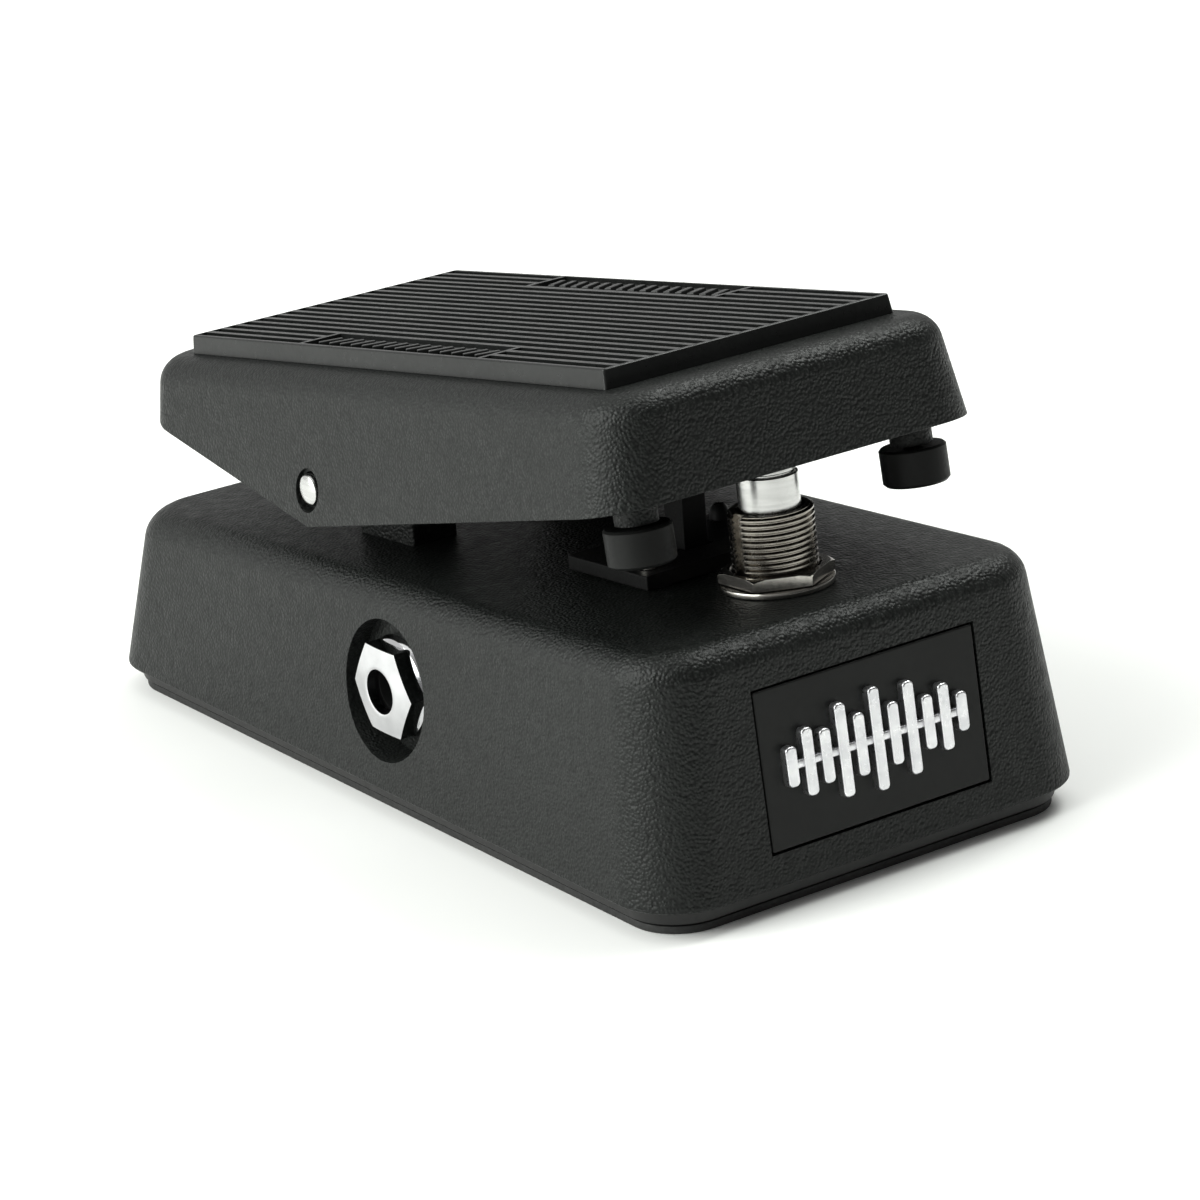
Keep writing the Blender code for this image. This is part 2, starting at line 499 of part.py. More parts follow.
def make_treadle_fittings():
    """Ribbed mat on top; bumpers, strike pad and rack bracket below."""
    frame = TREADLE_FRAME
    low, high = TREADLE_TOP + GAP, TREADLE_TOP + GAP + MAT_THICK
    half, pitch = MAT_WIDTH / 2, MAT_WIDTH / (RIB_COUNT - 0.55)
    section = [(-half, low)]
    for rib in range(RIB_COUNT):
        left = -half + rib * pitch
        right = left + 0.45 * pitch
        section += [(left, high), (right, high)]
        if rib < RIB_COUNT - 1:
            section += [(right, high - RIB_HEIGHT), (left + pitch, high - RIB_HEIGHT)]
    section.append((half, low))
    strip = loft([[(x, y, z) for x, z in section] for y in (MAT_TOE, MAT_HEEL)])
    mat = piece("treadle_mat", strip, RUBBER, frame)
    for near, far in ((MAT_TOE, MAT_TOE + MAT_LIP), (MAT_HEEL - MAT_LIP, MAT_HEEL)):
        add(mat, box((-half, near, low), (half, far, high)), frame)

    bottom = BUMPER_TOP - BUMPER_HEIGHT
    for side, name in ((-1, "bumper_left"), (1, "bumper_right")):
        profile = [(BUMPER_RADIUS - 0.3, bottom), (BUMPER_RADIUS, bottom + 0.3),
                   (BUMPER_RADIUS, BUMPER_TOP - 0.2), (BUMPER_RADIUS - 0.2, BUMPER_TOP), (1.3, BUMPER_TOP),
                   (1.3, 5.0)]
        piece(name, turned(profile, 28, at=(side * BUMPER_X, BUMPER_Y, 0)), RUBBER, frame)
    ceiling = TREADLE_TOP - TREADLE_ROOF
    piece("strike_pad", turned([(PAD_RADIUS - 0.3, PAD_BOTTOM), (PAD_RADIUS, PAD_BOTTOM + 0.3),
                                (PAD_RADIUS, ceiling - GAP)], 28, at=(0, PAD_Y, 0)), RUBBER, frame)

    foot = box((-9.5, RACK_PIN_Y - 5, ceiling - 1.5), (9.5, RACK_PIN_Y + 5, ceiling - GAP))
    bracket = piece("rack_bracket", foot, ZINC, frame)
    for side in (-1, 1):
        near, far = side * (RACK_HALF + 0.4), side * (RACK_HALF + 1.8)
        low, high = min(near, far), max(near, far)
        add(bracket, box((low, RACK_PIN_Y - 4.5, 0.6), (high, RACK_PIN_Y + 4.5, ceiling - 0.8)), frame)
        cut(bracket, rod(1.3, 8, 16, 12, at=(side * 7.0, RACK_PIN_Y, 0)), frame)
    cut(bracket, rod(RACK_PIN_RADIUS + GAP, -10, 10, 16, "X", (0, RACK_PIN_Y, RACK_PIN_Z)), frame)
    profile = [(2.1, -5.4), (2.1, -4.1), (RACK_PIN_RADIUS, -4.1), (RACK_PIN_RADIUS, 5.4)]
    piece("rack_pin", turned(profile, 16, "X", (0, RACK_PIN_Y, RACK_PIN_Z)), NICKEL, frame)
    for number, x in enumerate((-7.0, 7.0), 1):
        fixing = screw(1.9, 0.8, ceiling - 1.5 - GAP, 1.3, 3.6, (x, RACK_PIN_Y, 0))
        piece(f"rack_bracket_screw_{number}", fixing, ZINC, frame)


def make_axle():
    """Cross axle held in the skirts, with nylon bushes in the lugs and spring-steel friction washers."""
    frame = TREADLE_FRAME
    reach = 32.3
    profile = [(AXLE_RADIUS - 1.0, -reach), (AXLE_RADIUS - 0.15, 0.35 - reach), (AXLE_RADIUS, 0.8 - reach),
               (AXLE_RADIUS, reach - 0.8), (AXLE_RADIUS - 0.15, reach - 0.35), (AXLE_RADIUS - 1.0, reach)]
    piece("pivot_axle", turned(profile, 24, "X"), BRIGHT_STEEL, frame)
    centre = (0, PIVOT_Y, PIVOT_Z)
    for axis, name in (("-X", "left"), ("X", "right")):
        bore, flange = AXLE_RADIUS + 0.25, LUG_OUTER + GAP
        profile = [(bore, LUG_INNER), (3.8, LUG_INNER), (3.8, flange), (5.4, flange),
                   (5.4, flange + 0.8), (bore, flange + 0.8)]
        piece("pivot_bush_" + name, turned(profile, 24, axis, centre, loop=True), NYLON)
        washer = tube(bore, 5.2, LUG_OUTER + 1.35, BOSS_INNER - 0.2, 24, axis)
        piece("friction_washer_" + name, washer, BRIGHT_STEEL, frame)


for old in list(bpy.data.objects):
    bpy.data.objects.remove(old, do_unlink=True)

CUT = material("tool", (0.8, 0.2, 0.2), 0.5, 0.0)
COATING = material("black_coating", (0.030, 0.032, 0.031), 0.55, 0.0)
PLATE_PAINT = material("plate_paint", (0.014, 0.014, 0.014), 0.45, 0.0)
RUBBER = material("rubber", (0.022, 0.023, 0.022), 0.7, 0.0)
NAME_BLACK = material("name_black", (0.006, 0.006, 0.006), 0.3, 0.0)
BLACK_PLASTIC = material("black_plastic", (0.012, 0.012, 0.012), 0.4, 0.0)
NYLON = material("nylon", (0.020, 0.020, 0.020), 0.5, 0.0)
CHROME = material("chrome", (0.86, 0.86, 0.87), 0.08, 1.0)
NICKEL = material("nickel", (0.60, 0.58, 0.54), 0.25, 1.0)
DARK_NICKEL = material("dark_nickel", (0.32, 0.31, 0.29), 0.28, 1.0)
BRIGHT_STEEL = material("bright_steel", (0.80, 0.80, 0.79), 0.22, 1.0)
ZINC = material("zinc", (0.55, 0.56, 0.57), 0.35, 1.0)
BOARD = material("board_green", (0.010, 0.070, 0.030), 0.4, 0.0)
FERRITE = material("ferrite", (0.350, 0.040, 0.030), 0.4, 0.0)
CAN_SLEEVE = material("can_sleeve", (0.020, 0.025, 0.070), 0.35, 0.0)
FILM_RED = material("film_red", (0.300, 0.025, 0.020), 0.35, 0.0)
SWITCH_BLUE = material("switch_blue", (0.010, 0.060, 0.220), 0.4, 0.0)

GUIDE_Y = -31.0
GUIDE_SCREWS = [(-10.5, -6.0), (10.5, 6.0)]
GUIDE_FRAME = holder("guide_frame", (0, GUIDE_Y, top_z(GUIDE_Y)), -TOP_SLOPE)
SWITCH_FRAME = holder("switch_frame", (0, SWITCH_Y, top_z(SWITCH_Y)), -TOP_SLOPE)
NAME_FRAME = holder("name_frame", (0, -BASE_LENGTH / 2 + (NAME_Z - LIP_Z) * math.tan(END_SLOPE), NAME_Z),
                    math.pi / 2 - END_SLOPE)
TREADLE_FRAME = holder("treadle_pivot", (0, PIVOT_Y, PIVOT_Z), -math.radians(REST_TILT))

make_housing()
make_base_cover()
make_name_plate()
make_jack(-1, "input_jack")
make_jack(1, "output_jack")
make_power_socket()
make_board()
make_voice_switch()
make_rack()
make_pinion()
make_pot()
make_footswitch()
make_treadle()
make_treadle_fittings()
make_axle()
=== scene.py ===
"""Looks of a compact rocker pedal: castings, ribbed mat, footswitch, jacks, name plate and the works inside."""

import json
import math

import bmesh
import bpy
from mathutils import Matrix, Vector


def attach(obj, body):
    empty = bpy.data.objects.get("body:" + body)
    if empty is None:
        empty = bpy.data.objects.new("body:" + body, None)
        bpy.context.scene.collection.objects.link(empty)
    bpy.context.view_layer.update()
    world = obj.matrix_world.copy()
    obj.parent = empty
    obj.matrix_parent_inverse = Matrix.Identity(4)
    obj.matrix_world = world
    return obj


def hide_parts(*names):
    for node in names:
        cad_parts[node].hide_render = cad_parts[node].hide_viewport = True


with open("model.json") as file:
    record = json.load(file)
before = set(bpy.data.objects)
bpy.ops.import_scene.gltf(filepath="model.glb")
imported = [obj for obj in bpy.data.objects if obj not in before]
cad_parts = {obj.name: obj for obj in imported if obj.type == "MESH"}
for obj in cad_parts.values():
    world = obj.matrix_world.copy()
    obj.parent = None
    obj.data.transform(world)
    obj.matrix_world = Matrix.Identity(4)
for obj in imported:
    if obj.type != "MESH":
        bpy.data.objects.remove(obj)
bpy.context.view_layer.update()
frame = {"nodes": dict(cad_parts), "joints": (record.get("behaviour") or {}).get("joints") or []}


# ---------------------------------------------------------------- base casting
# The base is one die-cast aluminium shell, open below, with drafted walls and a wedge-shaped top whose edge is
# rolled over. Two posts on its top carry the axle. It is powder coated in black with a fine pebble.
# Shapes are made in millimetres and scaled to metres when a piece is finished.

def bevelled(bm, edges, width, steps):
    """Round these edges of a shape."""
    bmesh.ops.bevel(bm, geom=list(edges), offset=width, offset_type="OFFSET", affect="EDGES", segments=steps,
                    profile=0.5, material=-1, clamp_overlap=True)
    return bm


def creases(bm, degrees=35):
    """Edges where two faces meet at more than this angle."""
    return [edge for edge in bm.edges if len(edge.link_faces) == 2
            and edge.calc_face_angle() > math.radians(degrees)]


def tapered(low_size, high_size, low_z, top, corner, steps, middle=0.0):
    """Block with rounded corners whose plan narrows from low_size to high_size; top(y) is its height."""
    bm = bmesh.new()
    bmesh.ops.create_cube(bm, size=1.0)
    for vert in bm.verts:
        high = vert.co.z > 0
        width, length = high_size if high else low_size
        vert.co.x *= width
        vert.co.y = vert.co.y * length + middle
        vert.co.z = top(vert.co.y) if high else low_z
    corners = [edge for edge in bm.edges if (edge.verts[0].co.xy - edge.verts[1].co.xy).length < 12]
    return bevelled(bm, corners, corner, steps)


def rim(bm, side):
    """Edges round the top face, or round the bottom face with side -1."""
    face = max(bm.faces, key=lambda face: side * face.normal.z)
    return list(face.edges)


def turned_to(axis, centre=(0, 0, 0)):
    """Matrix that lays a shape made along +Z along another axis, through centre."""
    turns = {"Z": Matrix(), "X": Matrix.Rotation(math.pi / 2, 4, "Y"),
             "-X": Matrix.Rotation(-math.pi / 2, 4, "Y")}
    return Matrix.Translation(centre) @ turns[axis]


def block(low, high):
    """Box between two corners."""
    low, high = Vector(low), Vector(high)
    bm = bmesh.new()
    bmesh.ops.create_cube(bm, size=1.0, matrix=Matrix.Translation((low + high) / 2)
                          @ Matrix.Diagonal((*(high - low), 1.0)))
    return bm


def drum(radius, low, high, steps=48, axis="Z", centre=(0, 0, 0)):
    """Cylinder, or prism with few steps, between two heights on an axis."""
    bm = bmesh.new()
    bmesh.ops.create_cone(bm, cap_ends=True, segments=steps, radius1=radius, radius2=radius, depth=high - low,
                          matrix=turned_to(axis, centre) @ Matrix.Translation((0, 0, (low + high) / 2)))
    return bm


def combined(bm, tools, operation="DIFFERENCE"):
    """Cut other shapes out of a shape, or join them to it."""
    parts = []
    for shape in (bm, *tools):
        mesh = bpy.data.meshes.new("blank")
        shape.to_mesh(mesh)
        shape.free()
        parts.append(bpy.data.objects.new("blank", mesh))
        bpy.context.scene.collection.objects.link(parts[-1])
    for tool in parts[1:]:
        change = parts[0].modifiers.new("cut", "BOOLEAN")
        change.operation, change.object, change.solver = operation, tool, "EXACT"
    result = bmesh.new()
    result.from_object(parts[0], bpy.context.evaluated_depsgraph_get())
    for part in parts:
        bpy.data.meshes.remove(part.data)
    bmesh.ops.remove_doubles(result, verts=result.verts, dist=0.002)
    bmesh.ops.dissolve_limit(result, angle_limit=math.radians(0.5), verts=result.verts, edges=result.edges)
    return result


def made(name, bm, finish, body, nodes=(), place=Matrix()):
    """Finish a piece in metres, riding on its body and standing in for CAD nodes."""
    bm.transform(Matrix.Scale(0.001, 4) @ place)
    mesh = bpy.data.meshes.new(name)
    bm.to_mesh(mesh)
    bm.free()
    mesh.shade_smooth()
    mesh.set_sharp_from_angle(angle=math.radians(32))
    mesh.materials.append(finish)
    piece = bpy.data.objects.new(name, mesh)
    bpy.context.scene.collection.objects.link(piece)
    even = piece.modifiers.new("even shading", "WEIGHTED_NORMAL")
    even.keep_sharp = True
    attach(piece, body)
    if nodes:
        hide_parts(*nodes)


def surface(name, tones, rough, patch, grain, relief, metal=0.0, stretch=(1, 1, 1), specular=0.5):
    """Material whose colour drifts over patches of one size, under a grain of another size, in metres."""
    finish = bpy.data.materials.new(name)
    finish.use_nodes = True
    nodes, join = finish.node_tree.nodes, finish.node_tree.links.new
    shader = nodes["Principled BSDF"]
    shader.inputs["Metallic"].default_value = metal
    shader.inputs["Specular IOR Level"].default_value = specular
    where = nodes.new("ShaderNodeTexCoord")
    lay = nodes.new("ShaderNodeMapping")
    lay.inputs["Scale"].default_value = stretch
    join(where.outputs["Object"], lay.inputs["Vector"])
    clouds = []
    for size, detail in ((patch, 3), (grain, 2)):
        cloud = nodes.new("ShaderNodeTexNoise")
        cloud.inputs["Scale"].default_value = 1 / size
        cloud.inputs["Detail"].default_value = detail
        join(lay.outputs["Vector"], cloud.inputs["Vector"])
        clouds.append(cloud)
    ramp = nodes.new("ShaderNodeValToRGB")
    ramp.color_ramp.elements[0].position, ramp.color_ramp.elements[1].position = 0.3, 0.7
    ramp.color_ramp.elements[0].color, ramp.color_ramp.elements[1].color = (*tones[0], 1), (*tones[1], 1)
    join(clouds[0].outputs["Fac"], ramp.inputs["Fac"])
    join(ramp.outputs["Color"], shader.inputs["Base Color"])
    spread = nodes.new("ShaderNodeMapRange")
    spread.inputs["From Min"].default_value, spread.inputs["From Max"].default_value = 0.3, 0.7
    spread.inputs["To Min"].default_value, spread.inputs["To Max"].default_value = rough
    join(clouds[1].outputs["Fac"], spread.inputs["Value"])
    join(spread.outputs["Result"], shader.inputs["Roughness"])
    bump = nodes.new("ShaderNodeBump")
    bump.inputs["Strength"].default_value = 1.0
    bump.inputs["Distance"].default_value = relief
    join(clouds[1].outputs["Fac"], bump.inputs["Height"])
    join(bump.outputs["Normal"], shader.inputs["Normal"])
    return finish


def pebbled(name, tones, rough, pebble, relief):
    """Powder coat: rounded pebbles of one size over a softer orange peel, with painted shade darkening the
    hollows between pebbles so their crowns read paler.
    """
    finish = surface(name, tones, rough, patch=0.03, grain=pebble * 4, relief=relief, specular=0.34)
    nodes, join = finish.node_tree.nodes, finish.node_tree.links.new
    where, bump = nodes["Texture Coordinate"], nodes["Bump"]
    cells = nodes.new("ShaderNodeTexVoronoi")
    cells.feature = "SMOOTH_F1"
    cells.inputs["Scale"].default_value = 1 / pebble
    cells.inputs["Smoothness"].default_value = 0.7
    join(where.outputs["Object"], cells.inputs["Vector"])
    crowns = nodes.new("ShaderNodeBump")
    crowns.invert = True
    crowns.inputs["Strength"].default_value = 1.0
    crowns.inputs["Distance"].default_value = pebble * 0.34
    join(cells.outputs["Distance"], crowns.inputs["Height"])
    join(bump.outputs["Normal"], crowns.inputs["Normal"])
    join(crowns.outputs["Normal"], nodes["Principled BSDF"].inputs["Normal"])
    # Painted shade: the base colour is multiplied darker, down to a quarter, away from each pebble's centre,
    # darkening the hollows between pebbles.
    shade = nodes.new("ShaderNodeMix")
    shade.data_type, shade.blend_type = "RGBA", "MULTIPLY"
    shade.inputs["Factor"].default_value = 1.0
    painted_pit_shade = nodes.new("ShaderNodeValToRGB")
    painted_pit_shade.color_ramp.elements[0].position, painted_pit_shade.color_ramp.elements[1].position = 0.15, 0.75
    painted_pit_shade.color_ramp.elements[0].color, painted_pit_shade.color_ramp.elements[1].color = (1, 1, 1, 1), (0.25, 0.25, 0.25, 1)
    join(cells.outputs["Distance"], painted_pit_shade.inputs["Fac"])
    join(nodes["Color Ramp"].outputs["Color"], shade.inputs["A"])
    join(painted_pit_shade.outputs["Color"], shade.inputs["B"])
    join(shade.outputs["Result"], nodes["Principled BSDF"].inputs["Base Color"])
    return finish


powder_coat = pebbled("powder coat", ((0.0095, 0.0115, 0.0100), (0.0130, 0.0155, 0.0138)), (0.40, 0.52),
                      pebble=0.00044, relief=0.00004)

base_width, base_length, top_width, top_length = 75.2, 147.0, 67.2, 138.8
lip_height, heel_height, toe_height, roof = 3.8, 28.1, 37.9, 2.6
low_wall, high_wall = 2.6, 2.8
top_slope = math.atan((toe_height - heel_height) / top_length)
end_slope = math.atan((base_length - top_length) / 2 / (toe_height - lip_height))


def top_height(y):
    """Height of the wedge-shaped top at length y."""
    return heel_height + (toe_height - heel_height) * (0.5 - y / top_length)


jack, recess_radius, recess_floor = Vector((0, -5.4, 18.4)), 10.2, 31.6
power, power_radius = Vector((0, 30.0, 18.9)), 4.4
pivot = Vector(next(joint["pos_m"] for joint in frame["joints"] if joint["name"] == "treadle_pivot")) * 1000
switch_place, guide_place = (Matrix.Translation((0, y, top_height(y))) @ Matrix.Rotation(-top_slope, 4, "X")
                             for y in (-52.0, -31.0))
name_z, name_width, name_height = 19.65, 37.2, 22.2
name_place = (Matrix.Translation((0, (name_z - lip_height) * math.tan(end_slope) - base_length / 2, name_z))
              @ Matrix.Rotation(math.pi / 2 - end_slope, 4, "X"))
cover_screws = [(x, y) for x in (-27.0, 27.0) for y in (-58.5, 58.5)]
board_posts = [(x, y) for x in (-22.0, 22.0) for y in (12.0, 46.0)]
bracket_posts = [(9.5, -37.0), (15.5, -37.0)]
guide_screws = [(-10.5, -6.0), (10.5, 6.0)]

shell = tapered((base_width, base_length), (top_width, top_length), lip_height, top_height, 9.8, 14)
bevelled(shell, rim(shell, 1), 4.0, 8)
bevelled(shell, rim(shell, -1), 0.6, 3)
hollow = tapered((base_width - 2 * low_wall, base_length - 2 * low_wall),
                 (top_width - 2 * high_wall, top_length - 2 * high_wall), 2.5,
                 lambda y: top_height(y) - roof, 7.2, 8)
keep = [drum(recess_radius + 2.0, recess_floor - 2.4, 45, 48, axis, jack) for axis in ("X", "-X")]
for spots, radius, low in ((cover_screws, 3.7, 0), (board_posts, 2.8, 13.9), (bracket_posts, 2.7, 27.1)):
    keep += [drum(radius, low, 60, 24, centre=(x, y, 0)) for x, y in spots]
shell = combined(shell, [combined(hollow, keep)])

posts = []
foot_top, half_foot, crown_radius = 36.0, 7.2, 6.5
for side in (-1, 1):
    near, far = sorted((side * 12.0, side * 19.5))
    post = block((near, pivot.y - half_foot, top_height(pivot.y) - 2.0), (far, pivot.y + half_foot, foot_top))
    crown = drum(crown_radius, near, far, 40, "X", (0, pivot.y, pivot.z))
    lump = bpy.data.meshes.new("crown")
    crown.to_mesh(lump)
    crown.free()
    post.from_mesh(lump)
    bpy.data.meshes.remove(lump)
    hull = bmesh.ops.convex_hull(post, input=post.verts)
    bmesh.ops.delete(post, geom=[v for v in hull["geom_interior"] + hull["geom_unused"]
                                 if isinstance(v, bmesh.types.BMVert)], context="VERTS")
    bmesh.ops.dissolve_limit(post, angle_limit=math.radians(0.5), verts=post.verts, edges=post.edges)
    bevelled(post, [edge for edge in creases(post) if max(v.co.z for v in edge.verts) > 34], 0.5, 3)
    posts.append(post)
shell = combined(shell, posts, "UNION")

rack_slot = block((-2.6, -34.0, 20), (2.6, -26.8, 45))
cuts = [drum(4.1, -30, 30, 32, "X", (0, pivot.y, pivot.z)), drum(power_radius, 28, 45, 32, "X", power),
        rack_slot]
for axis in ("X", "-X"):
    cuts += [drum(recess_radius, recess_floor, 48, 72, axis, jack), drum(5.0, 26, 48, 40, axis, jack)]
for spots, radius, low, high in ((cover_screws, 1.5, 0, 16), (board_posts, 1.3, 5, 22),
                                 (bracket_posts, 1.3, 20, 32.2)):
    cuts += [drum(radius, low, high, 16, centre=(x, y, 0)) for x, y in spots]
half_pocket = (name_width / 2 + 0.3, name_height / 2 + 0.3)
pocket = block((-half_pocket[0], -half_pocket[1], -1.4), (half_pocket[0], half_pocket[1], 6.0))
placed = [(drum(6.25, -8, 8, 48), switch_place)]
placed += [(drum(1.1, -6, 3, 16, centre=(*at, 0)), guide_place) for at in guide_screws]
placed.append((pocket, name_place))
for shape, place in placed:
    shape.transform(place)
    cuts.append(shape)
shell = combined(shell, cuts)


def at_mouth(edge, centre, radius):
    """Whether an edge lies on the outer mouth of a hole of that radius through a side wall."""
    return all(abs((v.co.yz - centre.yz).length - radius) < 0.05 and abs(v.co.x) > 34.5 for v in edge.verts)


mouths = [edge for edge in creases(shell)
          if at_mouth(edge, jack, recess_radius) or at_mouth(edge, power, power_radius)]
bevelled(shell, mouths, 0.35, 3)
made("base_casting", shell, powder_coat, "base", ["housing"])


# ---------------------------------------------------------------- bottom cover
# A pressed steel plate in satin black closes the base. Four zinc-plated cross-head screws hold it to cast
# bosses, and a rubber sheet with holes at the screws is glued under it.

satin_paint = surface("satin paint", ((0.010, 0.010, 0.010), (0.016, 0.016, 0.015)), (0.38, 0.5),
                      patch=0.02, grain=0.0009, relief=0.00002)
sheet_rubber = surface("sheet rubber", ((0.018, 0.018, 0.018), (0.028, 0.028, 0.027)), (0.62, 0.8),
                       patch=0.012, grain=0.0006, relief=0.00006)
zinc_plate = surface("zinc plate", ((0.50, 0.51, 0.53), (0.62, 0.63, 0.64)), (0.26, 0.42),
                     patch=0.004, grain=0.0002, relief=0.000004, metal=1.0)

for name, inset, low, high, finish, node, hole, slot in (
        ("cover_plate", 2.1, 1.5, 3.5, satin_paint, "base_plate", 3.1, "plate_paint"),
        ("foot_sheet", 2.6, 0.0, 1.2, sheet_rubber, "base_pad", 3.6, "rubber")):
    size = (base_width - 2 * inset, base_length - 2 * inset)
    sheet = tapered(size, size, low, lambda y, high=high: high, 10.2 - inset, 14)
    bevelled(sheet, rim(sheet, -1) + rim(sheet, 1), 0.3, 2)
    holes = [drum(hole, -1, 2.7, 32, centre=(x, y, 0)) for x, y in cover_screws]
    holes += [drum(1.6, 0, 6, 20, centre=(x, y, 0)) for x, y in cover_screws]
    made(name, combined(sheet, holes), finish, "base", [node])


def spun(profile, steps=64, axis="Z", centre=(0, 0, 0), soft=0.0):
    """Solid turned from (radius, height) pairs, which end on the axis or else close on themselves."""
    bm = bmesh.new()
    line = [bm.verts.new((radius, 0, height)) for radius, height in profile]
    edges = [bm.edges.new(pair) for pair in zip(line, line[1:])]
    if profile[0][0] > 0:
        edges.append(bm.edges.new((line[-1], line[0])))
    bmesh.ops.spin(bm, geom=line + edges, cent=(0, 0, 0), axis=(0, 0, 1), angle=2 * math.pi, steps=steps,
                   use_merge=True)
    bmesh.ops.remove_doubles(bm, verts=bm.verts, dist=0.001)
    bmesh.ops.recalc_face_normals(bm, faces=bm.faces)
    if soft:
        bevelled(bm, creases(bm, 30), soft, 2)
    bm.transform(turned_to(axis, centre))
    return bm


def cross_screw(head, shank, seat, thickness, length, at):
    """Pan-head screw pointing up, with its cross recess below."""
    low = seat - thickness
    profile = [(0, low - 0.05), (head * 0.55, low), (head * 0.85, low + thickness * 0.28),
               (head, low + thickness * 0.65), (head, seat), (shank, seat), (shank, seat + length - shank),
               (shank * 0.4, seat + length), (0, seat + length)]
    screw = spun(profile, 40, centre=(*at, 0))
    arm, wide, deep = head * 0.52, head * 0.14, thickness * 0.7
    slots = [block((at[0] - a, at[1] - b, low - 1), (at[0] + a, at[1] + b, low + deep))
             for a, b in ((arm, wide), (wide, arm))]
    return combined(screw, slots)


for number, at in enumerate(cover_screws, 1):
    screw = cross_screw(head=2.7, shank=1.2, seat=2.4, thickness=1.1, length=11.0, at=at)
    made(f"cover_screw_{number}", screw, zinc_plate, "base", [f"base_plate_screw_{number}"])


# ---------------------------------------------------------------- name plate
# A moulded black plate is glued into a pocket in the toe face. A plain row of bars on a rail stands on it,
# metallised in satin silver.

plate_black = surface("plate black", ((0.006, 0.0066, 0.006), (0.009, 0.0097, 0.009)), (0.34, 0.46),
                      patch=0.015, grain=0.0008, relief=0.000003, specular=0.28)
silver_film = surface("silver film", ((0.66, 0.66, 0.68), (0.80, 0.80, 0.81)), (0.26, 0.40),
                      patch=0.003, grain=0.0004, relief=0.00001, metal=1.0)

plate = block((-name_width / 2, -name_height / 2, -1.1), (name_width / 2, name_height / 2, 0.0))
bevelled(plate, creases(plate), 0.3, 3)
made("name_panel", plate, plate_black, "base", ["name_plate"], name_place)

bars, spacing, half_bar = 11, 2.9, 0.92
span = spacing * (bars - 1) / 2
rail = block((-span, -0.6, 0.0), (span, 0.6, 0.9))
bevelled(rail, [edge for edge in creases(rail) if min(v.co.z for v in edge.verts) > 0.5], 0.25, 3)
strokes = []
for i in range(bars):
    x = i * spacing - span
    reach = 2.2 + 5.0 * math.sin(math.pi * (i + 1) / (bars + 1)) * (0.45 + 0.55 * (i % 2))
    stroke = block((x - half_bar, -reach, 0.0), (x + half_bar, reach, 1.3))
    upright = [edge for edge in creases(stroke) if abs(edge.verts[0].co.z - edge.verts[1].co.z) > 1]
    bevelled(stroke, upright, 0.7, 5)
    bevelled(stroke, rim(stroke, 1), 0.3, 3)
    strokes.append(stroke)
made("name_bars", combined(rail, strokes, "UNION"), silver_film, "base", ["name_plate_badge"],
     name_place)


# ---------------------------------------------------------------- jack sockets
# Each side has a 6.35 mm jack behind the wall. A chromed ferrule nut with a flange holds it in a round recess,
# and its sleeve, body and tip spring are seen through the bore.

chrome = surface("chrome", ((0.56, 0.56, 0.57), (0.68, 0.68, 0.69)), (0.05, 0.12),
                 patch=0.004, grain=0.0015, relief=0.00001, metal=1.0)
moulding_black = surface("moulding black", ((0.010, 0.010, 0.010), (0.016, 0.016, 0.016)), (0.34, 0.48),
                         patch=0.01, grain=0.0003, relief=0.000008)
nickel = surface("nickel", ((0.46, 0.44, 0.41), (0.60, 0.58, 0.54)), (0.16, 0.26),
                 patch=0.003, grain=0.0006, relief=0.000002, metal=1.0)


def eased(node, width, steps=2):
    """Copy of a CAD piece, in millimetres, with its sharp edges broken."""
    bm = bmesh.new()
    bm.from_mesh(frame["nodes"][node].data)
    bm.transform(Matrix.Scale(1000, 4))
    bmesh.ops.remove_doubles(bm, verts=bm.verts, dist=0.002)
    bmesh.ops.dissolve_limit(bm, angle_limit=math.radians(0.5), verts=bm.verts, edges=bm.edges)
    return bevelled(bm, creases(bm), width, steps)


for side, name in ((-1, "input_jack"), (1, "output_jack")):
    axis = "X" if side > 0 else "-X"
    hexagon = drum(6.35 / math.cos(math.pi / 6), 33.0, 38.0, 6)
    crown = spun([(0, 32.0), (9.0, 32.0), (9.0, 35.25), (7.25, 35.75), (3.9, 36.3), (3.55, 36.35),
                  (3.3, 36.25), (0, 36.25)], 96)
    ferrule = combined(hexagon, [crown], "INTERSECT")
    bevelled(ferrule, creases(ferrule, 40), 0.12, 2)
    flange = spun([(0, 31.65), (7.35, 31.65), (7.5, 31.8), (7.5, 32.5), (7.0, 33.25), (6.1, 33.6),
                   (0, 33.6)], 96)
    bore = spun([(0, 30), (5.0, 30), (5.0, 34.5), (3.3, 34.9), (3.3, 40), (0, 40)], 64)
    ferrule = combined(combined(ferrule, [flange], "UNION"), [bore])
    ferrule.transform(turned_to(axis, jack))
    made(name + "_ferrule", ferrule, chrome, "base", [name + "_nut"])
    made(name + "_case", eased(name + "_body", 0.25), moulding_black, "base", [name + "_body"])
    made(name + "_spring", eased(name + "_contact", 0.08), nickel, "base", [name + "_contact"])


# ---------------------------------------------------------------- power socket
# A barrel socket on the board reaches through the wall on the output side, with a nickel pin in its middle.

made("power_socket_case", eased("power_socket_body", 0.2), moulding_black, "base", ["power_socket_body"])
made("power_socket_centre_pin", eased("power_socket_pin", 0.15), nickel, "base", ["power_socket_pin"])


# ---------------------------------------------------------------- circuit board
# A green glass-fibre board hangs from four posts. It carries a potted inductor, two cans, two film capacitors,
# five resistors and two small transistors, with the voicing switch below.

